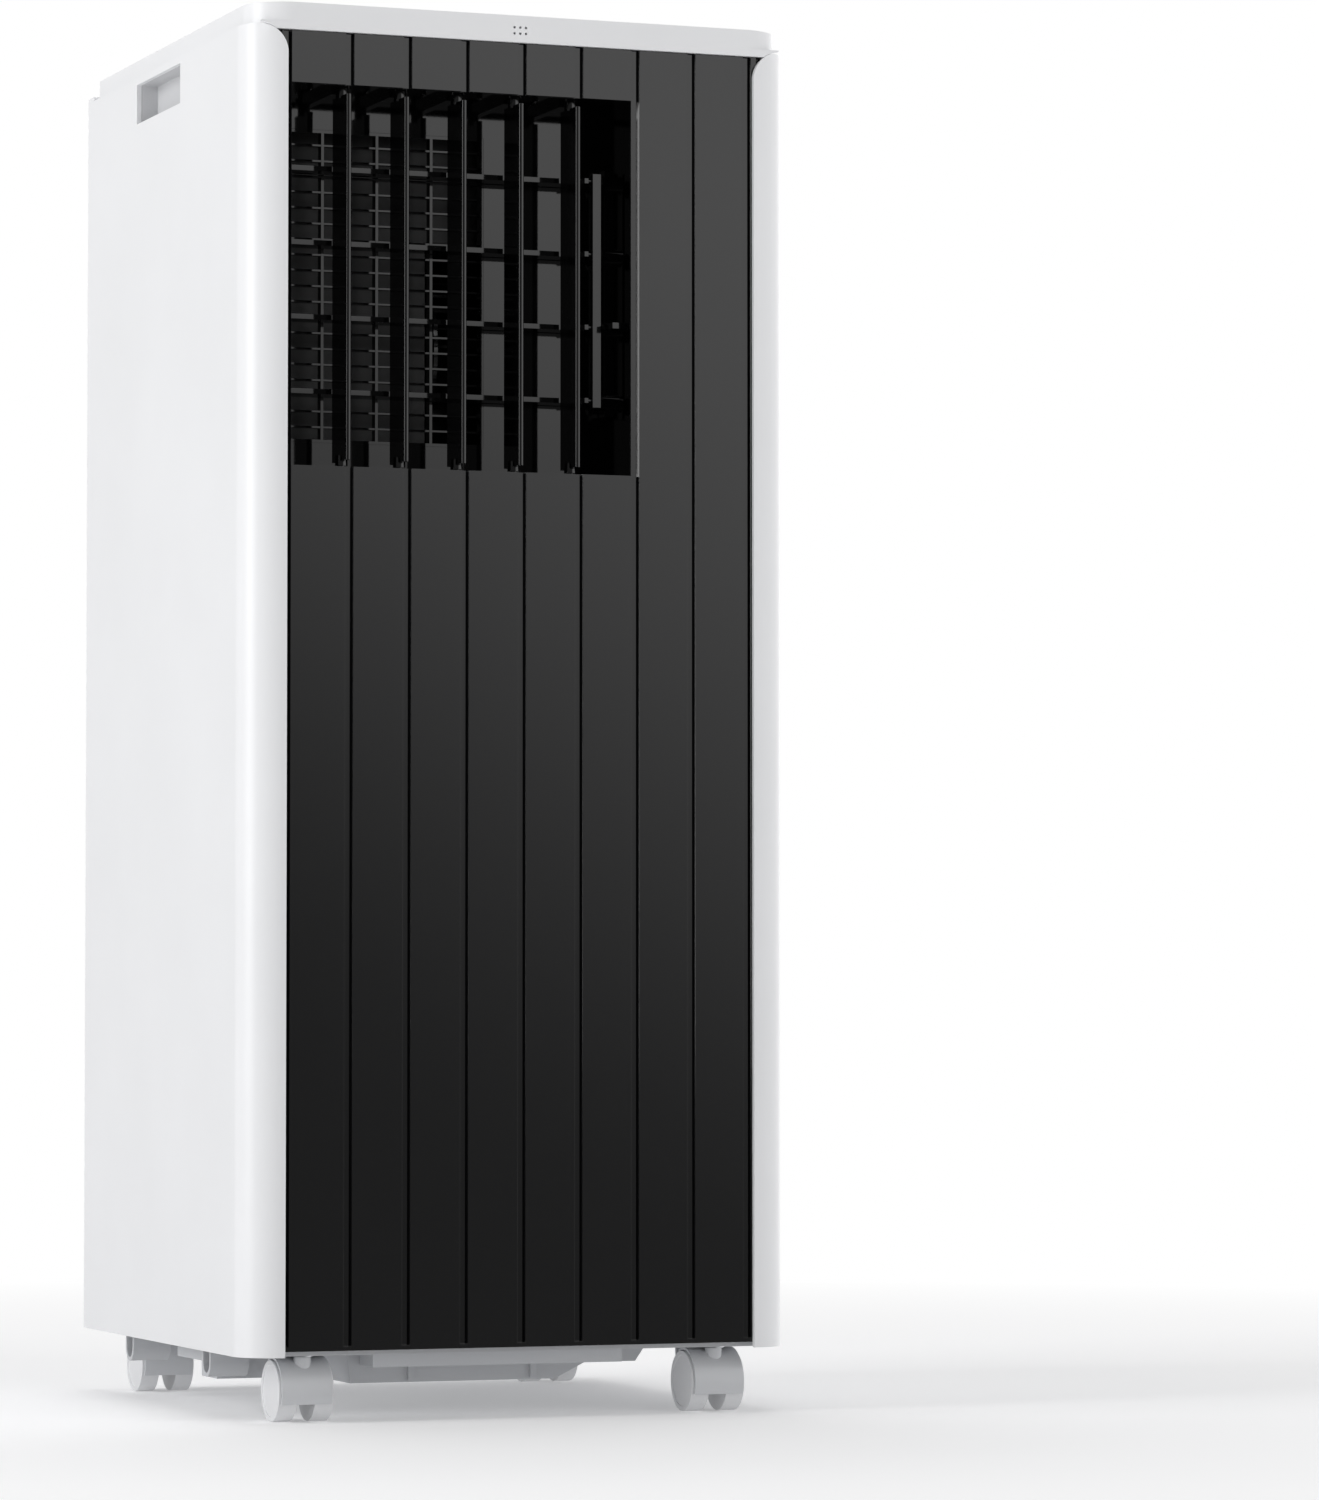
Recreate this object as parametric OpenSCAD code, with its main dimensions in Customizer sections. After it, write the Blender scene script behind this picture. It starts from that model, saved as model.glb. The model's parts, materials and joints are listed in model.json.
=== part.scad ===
// Portable air conditioner: tower body on casters, with a louvred outlet at the
// front, a pull-off intake grille and an exhaust hose collar at the rear.
// +Z is up, the front faces -Y, and the origin is on the floor under the centre.

/* [Body] */
// Width over the two side panels
body_w = 285; // [284:1:292]
// Depth from the front edge of the side panels to the rear face
body_d = 292; // [292:1:296]
// Height of the top face above the floor
body_h = 692.5; // [692:0.5:700]
// Height of the side panels' bottom edge above the floor
skirt_z = 32.5; // [32.5:0.1:32.6]
// Height of the seam between the side panels and the top cover
seam_z = 682; // [681.8:0.1:682.2]
// Wall thickness of the moulded covers
wall = 2.5; // [2.2:0.1:2.6]
// Radius of the two front vertical corners
corner_r = 20.4; // [20:0.1:21]

/* [Front panel] */
// Width of the panel between the edges of the side panels
panel_w = 249; // [247:1:249]
// Distance from the front plane back to the face of the panel
panel_y = 2.8; // [2.7:0.1:3.2]
// Pitch of the vertical grooves
groove_pitch = 29.88; // [29.5:0.02:30]
// Width of a groove
groove_w = 4.2; // [3.6:0.1:4.6]
// Depth of a groove
groove_d = 1.7; // [1.2:0.1:2]
// Position of the first full groove from the centre
groove_x = -91.7; // [-92:0.1:-91]

/* [Outlet] */
// Left edge of the outlet opening
outlet_x0 = -119.5; // [-120:0.1:-119]
// Right edge of the outlet opening
outlet_x1 = 57.9; // [57:0.1:60]
// Bottom edge of the outlet opening
outlet_z0 = 466; // [465.5:0.1:467]
// Top edge of the outlet opening
outlet_z1 = 653.5; // [653:0.1:654]
// Number of vertical vanes
vane_count = 5; // [5:1:5]
// Depth of a vertical vane, front to back
vane_depth = 22.5; // [20:0.5:23]
// Thickness of a vertical vane
vane_t = 2.8; // [2.4:0.1:3.2]
// Number of horizontal blades
blade_count = 4; // [4:1:4]
// Vertical pitch of the horizontal blades
blade_pitch = 36.8; // [36:0.1:37]
// Height of the lowest horizontal blade
blade_z0 = 505.2; // [503.2:0.5:506.2]
// Depth of a horizontal blade, front to back
blade_depth = 14; // [12:0.5:14]

/* [Fans] */
// Radius of the room-air blower wheel
blower_r = 48; // [42:1:48]
// Height of the room-air blower's axis
blower_z = 532; // [530:1:534]
// Radius of the condenser fan wheel
exhaust_fan_r = 60; // [54:1:60]
// Height of the exhaust opening's axis
exhaust_z = 330; // [329:1:330]
// Radius of the bore that takes the exhaust hose
exhaust_r = 65; // [60:0.5:65]

/* [Casters] */
// Radius of a caster wheel
wheel_r = 15; // [15:0.1:15]
// Distance of the casters from the centre plane
caster_x = 107.5; // [107:0.5:108]
// Distance of the front axles from the front plane
front_axle_y = 27; // [27:0.5:28]
// Distance of the rear axles from the front plane
rear_axle_y = 268; // [266:0.5:268]
// Trail of an axle behind its swivel pin
caster_trail = 8; // [8:0.5:8.5]

/* [Hidden] */

$fn = 64;
fit = 0.06;            // radial clearance of a pin that turns in its hole

white = [0.93, 0.93, 0.94];
light_grey = [0.8, 0.81, 0.83];
mid_grey = [0.6, 0.61, 0.63];
black = [0.12, 0.12, 0.13];
gloss_black = [0.07, 0.07, 0.08];
copper = [0.72, 0.45, 0.3];
fin_metal = [0.75, 0.77, 0.78];
steel = [0.55, 0.56, 0.58];
rubber = [0.1, 0.1, 0.1];
board_green = [0.1, 0.35, 0.2];

half_w = body_w / 2;
side_len = body_d - 11;            // the rear cover takes the last 11 mm
rear_z1 = seam_z + 2;
inner_x = half_w - wall;
flange_r = 15;                     // round inner top corner of the front flanges
flange_cx = half_w - 5.5;

handle_y0 = 118.4;
handle_y1 = 198;
handle_z0 = 658;
handle_z1 = 678.4;
handle_depth = 11.5;

panel_z0 = skirt_z + 2.7;
panel_z1 = seam_z - 3;
panel_back = panel_y + 3.8;
wing_x = 123;                      // stepped wings behind the panel's sides
wing_y = 8.4;

house_x0 = -121.5;                 // inside faces of the louvre housing
house_x1 = 68.6;
house_y1 = 46;
house_z0 = 464.5;
house_z1 = 655;
house_t = 2;

vane_x0 = groove_x + 1.7;
vane_pivot_y = panel_y + vane_depth / 2 + 0.6;
vane_pin_r = 2;
vane_z0 = outlet_z0 + 3.5;
vane_z1 = outlet_z1 - 4.2;
vane_crank = 12;
crank_pin_r = 1.5;
crank_z = house_z1 + house_t + 0.6;

blade_t = 2.5;
blade_y = 37.1;                      // depth of the horizontal blades' pivots
blade_x1 = 43;
blade_pin_r = 1.5;
blade_shaft_r = 1.8;
blade_crank = 10;
blade_crank_r = 1.1;

window_x0 = -116;                  // window in the housing's back wall
window_x1 = -5.4;
window_z0 = 481.3;
window_z1 = 637.2;

blower_x0 = -26;                   // ends of the blower wheel
blower_x1 = 58;
blower_y = 110;
exhaust_y0 = 172;
exhaust_y1 = 226;
shaft_r = 4;

intake_x = 112;                    // opening for the intake grille
intake_z0 = 440;
intake_z1 = 650;

screw_z = [60, 250, 425, 664];
button_x = [-45, -27, -9, 9, 27, 45];
button_y = 52;
button_r = 5.5;

gland_x = 105;
gland_z = 60;
drain_x = -60;
drain_z = 50;

tray_z = skirt_z + 0.2;
tray_t = 4;
stem_r = 3;
hood_r = wheel_r + 1.6;
hood_w = 12.8;                     // half the width of a caster's hood
wheel_in = 4.6;
wheel_out = 14;
axle_r = 2;

// Everything is laid out from the front plane, with y as the depth behind it.
module from_front() {
    translate([0, -body_d / 2, 0]) children();
}

// A box from its lowest to its highest corner.
module span(lo, hi) {
    translate(lo) cube(hi - lo);
}

// Cylinders along X, Y and Z from a start point.
module rod_x(p, r, len) {
    translate(p) rotate([0, 90, 0]) cylinder(r = r, h = len);
}

module rod_y(p, r, len) {
    translate(p) rotate([-90, 0, 0]) cylinder(r = r, h = len);
}

module rod_z(p, r, len) {
    translate(p) cylinder(r = r, h = len);
}

// Plan rectangle with round front corners, from its lowest to its highest corner.
module round_plan(lo, hi, r) {
    translate([lo[0] + r, lo[1]]) square([hi[0] - lo[0] - 2 * r, hi[1] - lo[1]]);
    translate([lo[0], lo[1] + r]) square([hi[0] - lo[0], hi[1] - lo[1] - r]);
    for (x = [lo[0] + r, hi[0] - r]) translate([x, lo[1] + r]) circle(r = r);
}

module round_box(lo, hi, r) {
    translate([0, 0, lo[2]])
        linear_extrude(hi[2] - lo[2])
            round_plan([lo[0], lo[1]], [hi[0], hi[1]], r);
}

// Outline in X and Z pushed along Y from y0 to y1.
module push_y(y0, y1, points) {
    translate([0, y1, 0])
        rotate([90, 0, 0])
            linear_extrude(y1 - y0) polygon(points);
}

// ---------------------------------------------------------------- covers

// Inward ledge along the top of a side panel, under the edge of the cap.
module top_ledge() {
    z0 = seam_z - wall;
    span([-inner_x - 0.5, corner_r, z0], [-half_w + 8, side_len, seam_z]);
    intersection() {
        difference() {
            rod_z([-half_w + corner_r, corner_r, z0], corner_r - wall + 0.5, wall);
            rod_z([-half_w + corner_r, corner_r, z0 - 1], corner_r - 8, wall + 2);
        }
        span([-half_w - 1, -1, z0 - 1], [-half_w + corner_r, corner_r, seam_z + 1]);
    }
}

// Left side panel: side wall, round front corner and a flange whose top inner
// corner is rounded off. The right one is its mirror image.
module side_shell() {
    from_front() difference() {
        union() {
            span([-half_w, corner_r, skirt_z], [-inner_x, side_len, seam_z]);
            intersection() {
                difference() {
                    rod_z([-half_w + corner_r, corner_r, skirt_z], corner_r, seam_z - skirt_z);
                    rod_z([-half_w + corner_r, corner_r, skirt_z - 1], corner_r - wall,
                          seam_z - skirt_z + 2);
                }
                span([-half_w - 1, -1, skirt_z - 1],
                     [-half_w + corner_r, corner_r, seam_z + 1]);
            }
            span([-inner_x, side_len - 14, skirt_z + 8], [-inner_x + 2, side_len - 12, seam_z - 6]);
            top_ledge();
        }
        difference() {
            span([-flange_cx, -1, seam_z - flange_r], [-half_w + corner_r + 1, 14, seam_z + 1]);
            rod_y([-flange_cx, -2, seam_z - flange_r], flange_r, 17);
        }
        span([-half_w - 1, handle_y0, handle_z0], [-inner_x + 1, handle_y1, handle_z1]);
    }
}

module left_side_panel() {
    color(white) side_shell();
}

module right_side_panel() {
    color(white) mirror([1, 0, 0]) side_shell();
}

// Two hand-grip pockets behind the openings in the side panels.
module handle_cups() {
    color(light_grey) from_front() for (s = [0, 1]) mirror([s, 0, 0]) difference() {
        span([-inner_x, handle_y0 - 2, handle_z0 - 2],
             [-half_w + handle_depth + 2, handle_y1 + 2, handle_z1 + 1]);
        span([-half_w - 1, handle_y0, handle_z0],
             [-half_w + handle_depth, handle_y1, handle_z1]);
    }
}

module rear_window(x0, x1, z0, z1) {
    span([x0, side_len, z0], [x1, body_d + 1, z1]);
}

module rear_cover() {
    color(white) from_front() difference() {
        union() {
            difference() {
                span([-half_w, side_len + 0.1, skirt_z], [half_w, body_d, rear_z1]);
                span([-inner_x, side_len - 1, skirt_z + wall],
                     [inner_x, body_d - wall, rear_z1 - wall]);
            }
            for (x = [-134, 134], z = screw_z) rod_y([x, body_d - 8, z], 6, 7.5);
        }
        rear_window(-intake_x, intake_x, intake_z0, intake_z1);
        rod_y([0, body_d - 10, exhaust_z], exhaust_r + 3, 12);
        rod_y([gland_x, body_d - 10, gland_z], 8, 12);
        rod_y([drain_x, body_d - 10, drain_z], 12, 12);
        for (column = [-68, 0, 68], row = [0:15])
            rear_window(column - 31, column + 31, 86 + row * 10, 91.5 + row * 10);
        for (x = [-134, 134], z = screw_z) {
            rod_y([x, body_d - 10, z], 1.8, 12);
            rod_y([x, body_d - 2.6, z], 3.6, 4);
        }
    }
}

// Slatted grille that pulls off the rear to reach the air filter.
module intake_grille() {
    gap = 0.5;
    color(white) from_front() difference() {
        union() {
            span([-intake_x + gap, body_d - 3.3, intake_z0 + gap],
                 [intake_x - gap, body_d - 0.3, intake_z1 - gap]);
            difference() {
                span([-intake_x + gap, body_d - 9, intake_z0 + gap],
                     [intake_x - gap, body_d - 3, intake_z1 - gap]);
                span([-intake_x + 3, body_d - 10, intake_z0 + 3],
                     [intake_x - 3, body_d - 2.9, intake_z1 - 3]);
            }
        }
        for (column = [-69, 0, 69], row = [0:21])
            span([column - 31, body_d - 12, intake_z0 + 10 + row * 8.4],
                 [column + 31, body_d + 1, intake_z0 + 15.2 + row * 8.4]);
        span([-22, body_d - 1.8, intake_z1 - 10], [22, body_d + 1, intake_z1 - 3.5]);
    }
}

// Filter frame behind the grille; its cells line up with the slots.
module air_filter() {
    pitch = 50.4;
    color(mid_grey) from_front() difference() {
        span([-108.5, body_d - 8.5, intake_z0 + 3.5], [108.5, body_d - 4, intake_z1 - 3.5]);
        for (column = [-69, 0, 69], row = [0:3])
            span([column - 32, body_d - 10, intake_z0 + 9 + row * pitch],
                 [column + 32, body_d - 2, intake_z0 + 49 + row * pitch]);
    }
}

module exhaust_collar() {
    color(light_grey) from_front() difference() {
        union() {
            rod_y([0, body_d - 51, exhaust_z], exhaust_r + 2.5, 50.5);
            rod_y([0, body_d - 6, exhaust_z], exhaust_r + 11, 3);
        }
        rod_y([0, body_d - 52, exhaust_z], exhaust_r, 60);
    }
}

module cord_gland() {
    color(black) from_front() difference() {
        union() {
            rod_y([gland_x, body_d - 9, gland_z], 7.8, 8.8);
            rod_y([gland_x, body_d - 6, gland_z], 10.5, 3);
        }
        rod_y([gland_x, body_d - 12, gland_z], 4.2, 16);
    }
}

// Plug that pulls out of the drain spout at the rear.
module drain_plug() {
    color(rubber) from_front() {
        rod_y([drain_x, body_d - 24, drain_z], 6 - fit, 18.5);
        rod_y([drain_x, body_d - 5.5, drain_z], 9, 4.5);
    }
}

// Screws that hold the rear cover, heads sunk in their wells.
module screws() {
    color(steel) from_front() for (x = [-134, 134], z = screw_z) difference() {
        union() {
            rod_y([x, body_d - 2.5, z], 3.2, 1.9);
            rod_y([x, body_d - 22, z], 1.6, 19.6);
        }
        span([x - 2.2, body_d - 1.4, z - 0.4], [x + 2.2, body_d, z + 0.4]);
        span([x - 0.4, body_d - 1.4, z - 2.2], [x + 0.4, body_d, z + 2.2]);
    }
}

// Shallow cap with a front skirt that dips between the flanges.
cap_x = half_w - 3.2;
cap_y0 = 0.8;
panel_cut = [64, 32, 98];          // half width, front and back of the control opening

module top_cover() {
    color(white) from_front() difference() {
        union() {
            difference() {
                round_box([-cap_x, cap_y0, seam_z + 0.15], [cap_x, side_len, body_h], corner_r + 1);
                round_box([-cap_x + wall, cap_y0 + wall, seam_z - 1],
                          [cap_x - wall, side_len - wall, body_h - wall], corner_r - wall + 1);
            }
            difference() {
                span([-flange_cx + 1, cap_y0, panel_z1 + 0.2],
                     [flange_cx - 1, cap_y0 + wall, seam_z + 1]);
                for (s = [-1, 1])
                    rod_y([s * flange_cx, -1, seam_z - flange_r], flange_r + 0.2, 17);
            }
        }
        span([-panel_cut[0], panel_cut[1], body_h - wall - 1],
             [panel_cut[0], panel_cut[2], body_h + 1]);
        for (column = [-1:1], row = [0, 1])
            rod_y([-1.9 + column * 3, -1, seam_z + 1.6 + row * 3], 0.65, 6);
    }
}

// ---------------------------------------------------------------- controls

module control_panel() {
    top = body_h - 0.5;
    color(gloss_black) from_front() difference() {
        union() {
            span([-panel_cut[0] + 0.2, panel_cut[1] + 0.2, top - 3.5],
                 [panel_cut[0] - 0.2, panel_cut[2] - 0.2, top]);
            span([-panel_cut[0] - 3, panel_cut[1] - 3, top - 3.5],
                 [panel_cut[0] + 3, panel_cut[2] + 3, body_h - wall - 0.1]);
            for (x = [-56, 56], y = [40, 90]) rod_z([x, y, top - 10.2], 2.5, 8);
        }
        for (x = button_x) rod_z([x, button_y, top - 6], button_r + 0.3, 10);
        span([-24, 68, top - 6], [24, 88, top + 1]);
    }
}

module display_window() {
    color([0.15, 0.2, 0.22]) from_front() union() {
        span([-23.8, 68.2, body_h - 3.5], [23.8, 87.8, body_h - 0.6]);
        span([-26, 66, body_h - 5.6], [26, 90, body_h - 4.1]);
        span([-23.8, 68.2, body_h - 4.2], [23.8, 87.8, body_h - 3.4]);
    }
}

// Push button with a retaining flange under the panel.
module push_button(index) {
    color(white) from_front() union() {
        rod_z([button_x[index], button_y, body_h - 5.2], button_r, 5.1);
        rod_z([button_x[index], button_y, body_h - 6], button_r + 1.3, 1.7);
    }
}

module button_power() { push_button(0); }

module button_mode() { push_button(1); }

module button_up() { push_button(2); }

module button_down() { push_button(3); }

module button_fan() { push_button(4); }

module button_timer() { push_button(5); }

// Circuit board under the buttons, with one tactile switch for each.
module control_board() {
    color(board_green) from_front() union() {
        span([-62, 36, body_h - 12.3], [62, 94, body_h - 10.7]);
        for (x = button_x) span([x - 3, button_y - 3, body_h - 11], [x + 3, button_y + 3, body_h - 8]);
        for (x = button_x) rod_z([x, button_y, body_h - 8.1], 1.5, 0.8);
        span([-22, 69, body_h - 11], [22, 87, body_h - 6]);
        span([-58, 72, body_h - 18], [-38, 86, body_h - 12.2]);
        span([38, 70, body_h - 17], [56, 84, body_h - 12.2]);
    }
}

// ---------------------------------------------------------------- front

function groove_points(x) = [
    [x, panel_y], [x, panel_y + groove_d],
    [x + groove_w - 1.2, panel_y + groove_d], [x + groove_w, panel_y]
];

// Plan section of the panel: grooves in front, stepped wings under the flanges.
function panel_outline() = concat(
    [[-panel_w / 2, panel_y]],
    groove_points(outlet_x0 - groove_w),
    [for (i = [0:7]) each groove_points(groove_x + i * groove_pitch)],
    [[panel_w / 2, panel_y], [panel_w / 2, 5.9], [132, 5.9], [132, wing_y],
     [wing_x, wing_y], [wing_x, panel_back], [-wing_x, panel_back], [-wing_x, wing_y],
     [-132, wing_y], [-132, 5.9], [-panel_w / 2, 5.9]]
);

module front_panel() {
    color(black) from_front() difference() {
        union() {
            translate([0, 0, panel_z0]) linear_extrude(panel_z1 - panel_z0)
                polygon(panel_outline());
            span([-panel_w / 2 + 0.5, panel_y, panel_z0],
                 [panel_w / 2 - 0.5, panel_back, panel_z0 + 2.2]);
        }
        span([outlet_x0, 0, outlet_z0], [outlet_x1, 12, outlet_z1]);
    }
}

function vane_x(i) = vane_x0 + i * groove_pitch;
function blade_z(i) = blade_z0 + i * blade_pitch;

// Deep black box behind the outlet. It carries the pivots of the vanes in its
// floor and ceiling and of the blades in its left wall, and that wall is
// rebated over the panel's wing.
module louver_housing() {
    color(black) from_front() difference() {
        union() {
            difference() {
                span([house_x0 - house_t, panel_back + 0.1, house_z0 - house_t],
                     [house_x1 + house_t, house_y1 + house_t, house_z1 + house_t]);
                span([house_x0, 0, house_z0], [house_x1, house_y1, house_z1]);
            }
            for (i = [0:vane_count - 1]) {
                span([vane_x(i) - 3, 22, house_z1 - 3.5], [vane_x(i) + 1.5, house_y1 + 1, house_z1 + 1]);
                rod_z([vane_x(i), vane_pivot_y, house_z0 - 1], 4.4, 3);
                rod_z([vane_x(i), vane_pivot_y, house_z1 - 2], 4.4, 3);
            }
        }
        span([house_x0 - house_t - 1, 0, house_z0 - house_t - 1],
             [-wing_x + 0.1, wing_y + 0.1, house_z1 + house_t + 1]);
        span([window_x0, house_y1 - 1, window_z0], [window_x1, house_y1 + 5, window_z1]);
        for (i = [0:vane_count - 1])
            rod_z([vane_x(i), vane_pivot_y, house_z0 - 5], vane_pin_r + fit, house_z1 - house_z0 + 10);
        for (i = [0:blade_count - 1])
            rod_x([house_x0 - 5, blade_y, blade_z(i)], blade_pin_r + fit, 8);
    }
}

// Fixed guard in the back wall, between the blower and the louvres.
module outlet_grille() {
    y0 = house_y1 + 0.1;
    y1 = y0 + 5;
    rows = 19;
    step = (window_z1 - window_z0) / (rows + 1);
    color(gloss_black) from_front() union() {
        difference() {
            span([window_x0 + 0.1, y0, window_z0 + 0.1], [window_x1 - 0.1, y1, window_z1 - 0.1]);
            span([window_x0 + 1.6, y0 - 1, window_z0 + 1.6], [window_x1 - 1.6, y1 + 1, window_z1 - 1.6]);
        }
        for (x = [-90, -61.6, -33.1]) span([x - 0.7, y0, window_z0 + 0.5], [x + 0.7, y1, window_z1 - 0.5]);
        for (i = [1:rows])
            span([window_x0 + 0.5, y0 + 0.2, window_z0 + i * step - 0.45],
                 [window_x1 - 0.5, y1 - 0.5, window_z0 + i * step + 0.45]);
    }
}

// Vertical vane with its pivot pins and, above the housing, a crank.
module vane(i) {
    x = vane_x(i);
    color(gloss_black) from_front() union() {
        span([x - vane_t / 2, panel_y + vane_t / 2, vane_z0],
             [x + vane_t / 2, panel_y + vane_depth, vane_z1]);
        rod_z([x, panel_y + vane_t / 2, vane_z0], vane_t / 2, vane_z1 - vane_z0);
        rod_z([x, vane_pivot_y, vane_z0 - 2.3], 3.1, 5);
        rod_z([x, vane_pivot_y, vane_z1 - 1], 3.1, 4.6);
        rod_z([x, vane_pivot_y, house_z0 - house_t], vane_pin_r, 8);
        rod_z([x, vane_pivot_y, vane_z1], vane_pin_r, crank_z - vane_z1 + 2.5);
        span([x - 2.5, vane_pivot_y - 2.5, crank_z], [x + 2.5, vane_pivot_y + vane_crank + 2.5, crank_z + 2.5]);
        rod_z([x, vane_pivot_y + vane_crank, crank_z + 2], crank_pin_r, 6);
    }
}

module vane_1() { vane(0); }

module vane_2() { vane(1); }

module vane_3() { vane(2); }

module vane_4() { vane(3); }

module vane_5() { vane(4); }

// Bar that joins the five vane cranks so that the vanes turn together.
module vane_link() {
    y = vane_pivot_y + vane_crank;
    color(mid_grey) from_front() difference() {
        span([vane_x(0) - 5, y - 4, crank_z + 2.9], [vane_x(vane_count - 1) + 5, y + 4, crank_z + 5.9]);
        for (i = [0:vane_count - 1])
            rod_z([vane_x(i), y, crank_z], crank_pin_r + fit, 10);
    }
}

// Horizontal blade with a pin at the left, and a shaft and a crank pin at the
// right. The second one from the bottom has the finger tab.
module blade(i, tab = false) {
    z = blade_z(i);
    y0 = blade_y - blade_depth / 2;
    color(gloss_black) from_front() union() {
        span([house_x0 + 0.8, y0, z - blade_t / 2], [blade_x1, y0 + blade_depth, z + blade_t / 2]);
        rod_x([house_x0 - house_t, blade_y, z], blade_pin_r, 6);
        rod_x([blade_x1 - 2, blade_y, z], blade_shaft_r, 67 - blade_x1);
        rod_x([blade_x1 - 2, blade_y - blade_crank, z], blade_crank_r, 52.2 - blade_x1);
        span([blade_x1 - 2, blade_y - blade_crank - 2, z - blade_t / 2],
             [blade_x1, blade_y, z + blade_t / 2]);
        rod_x([blade_x1 - 3, blade_y, z], 3.2, 4);
        if (tab) {
            span([51.4, blade_y - 16, z - 1.5], [53.2, blade_y + 2.6, z + 1.5]);
            span([51.4, blade_y - 24, z - 1.5], [60.2, blade_y - 12, z + 1.5]);
        }
    }
}

module blade_1() { blade(0); }

module blade_2() { blade(1, true); }

module blade_3() { blade(2); }

module blade_4() { blade(3); }

// Upright bar that joins the four blade cranks.
module blade_link() {
    y = blade_y - blade_crank;
    color(mid_grey) from_front() difference() {
        span([45.1, y - 2.6, blade_z(0) - 3.5], [49.4, y + 2.6, blade_z(blade_count - 1) + 3.5]);
        for (i = [0:blade_count - 1])
            rod_x([40, y, blade_z(i)], blade_crank_r + fit, 20);
    }
}

// Upright bracket with a bearing boss for each blade's shaft.
module blade_bracket() {
    z0 = blade_z(0) - 7;
    z1 = blade_z(blade_count - 1) + 7;
    color(gloss_black) from_front() difference() {
        union() {
            span([55, blade_y - 2.5, z0], [60, blade_y + 5, z1]);
            span([57.5, blade_y + 4, z0], [60, house_y1 - 0.1, z1]);
            span([52, house_y1 - 2.6, z0], [68, house_y1 - 0.1, z1]);
            for (i = [0:blade_count - 1]) rod_x([53.6, blade_y, blade_z(i)], 4.4, 11);
        }
        for (i = [0:blade_count - 1]) rod_x([50, blade_y, blade_z(i)], blade_shaft_r + fit, 20);
    }
}

// ---------------------------------------------------------------- fans

// Squirrel-cage wheel that stands on the XY plane, about the Z axis. The hub's disc
// is at disc_z, and the bore takes the motor's shaft.
module cage_wheel(r, len, disc_z, blades) {
    ring = 12;
    difference() {
        union() {
            for (i = [0:blades - 1])
                rotate([0, 0, i * 360 / blades]) translate([r - ring / 2 - 0.6, 0, 0])
                    rotate([0, 0, 35]) span([-ring / 2, -0.7, 0], [ring / 2 - 0.6, 0.7, len]);
            for (z = [0, len - 2]) difference() {
                rod_z([0, 0, z], r, 2);
                rod_z([0, 0, z - 1], r - ring - 0.5, 4);
            }
            rod_z([0, 0, disc_z], r - 0.3, 2);
            rod_z([0, 0, disc_z - 6], 9, 14);
        }
        rod_z([0, 0, -20], shaft_r + fit, len + 40);
    }
}

module blower_wheel() {
    color(mid_grey) from_front() translate([blower_x0, blower_y, blower_z])
        rotate([0, 90, 0]) cage_wheel(blower_r, blower_x1 - blower_x0, 70, 30);
}

module condenser_fan_wheel() {
    color(black) from_front() translate([0, exhaust_y0, exhaust_z])
        rotate([-90, 0, 0]) cage_wheel(exhaust_fan_r, exhaust_y1 - exhaust_y0, 24, 26);
}

// Case of the blower: a drum about the wheel's axis, and a wide duct to the guard.
module blower_housing() {
    y0 = house_y1 + house_t + 3.2;
    duct_y = y0 + 16;
    case_x0 = blower_x0 - 6;
    case_x1 = blower_x1 + 6;
    color(light_grey) from_front() difference() {
        union() {
            rod_x([case_x0, blower_y, blower_z], blower_r + 8, case_x1 - case_x0);
            span([window_x0 - 1, y0, window_z0 - 3], [case_x1, duct_y, window_z1 + 3]);
            span([case_x0, y0, blower_z], [case_x1, blower_y, blower_z + blower_r + 8]);
        }
        rod_x([case_x0 + 2, blower_y, blower_z], blower_r + 6, case_x1 - case_x0 - 4);
        span([window_x0 + 1, y0 - 1, window_z0 - 1], [case_x1 - 2, duct_y - 2, window_z1 + 1]);
        span([case_x0 + 2, y0 - 1, blower_z - blower_r],
             [case_x1 - 2, blower_y, blower_z + blower_r + 6]);
        rod_x([case_x0 - 1, blower_y, blower_z], blower_r - 12, 4);
        rod_x([case_x1 - 3, blower_y, blower_z], shaft_r + 5, 4);
    }
}

// Motor that stands on the XY plane, with its shaft along +Z.
module fan_motor(r, len, shaft_len) {
    difference() {
        union() {
            rod_z([0, 0, 0], r, len);
            rod_z([0, 0, 4], r + 2, len - 8);
            rod_z([0, 0, len - 1], shaft_r + 4, 3);
            rod_z([0, 0, len], shaft_r, shaft_len);
        }
        for (a = [0:45:315]) rod_z([(r - 9) * cos(a), (r - 9) * sin(a), -1], 3, 4);
    }
}

module blower_motor() {
    color(steel) from_front() translate([blower_x1 + 40, blower_y, blower_z])
        rotate([0, -90, 0]) fan_motor(34, 30, 26);
}

module condenser_fan_motor() {
    color(steel) from_front() translate([0, 120, exhaust_z])
        rotate([-90, 0, 0]) fan_motor(38, 36, 48);
}

// Drum round the condenser fan, open below to the condenser and behind to the
// exhaust collar.
module condenser_fan_housing() {
    color(light_grey) from_front() difference() {
        union() {
            rod_y([0, 159, exhaust_z], 74, 80);
            span([-74, 159, 254], [74, 239, exhaust_z]);
        }
        rod_y([0, 161, exhaust_z], 72, 76);
        span([-72, 161, 250], [72, 237, exhaust_z]);
        rod_y([0, 230, exhaust_z], exhaust_r + 2, 12);
        rod_y([0, 150, exhaust_z], shaft_r + 5, 12);
    }
}

// ---------------------------------------------------------------- cooling circuit

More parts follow.
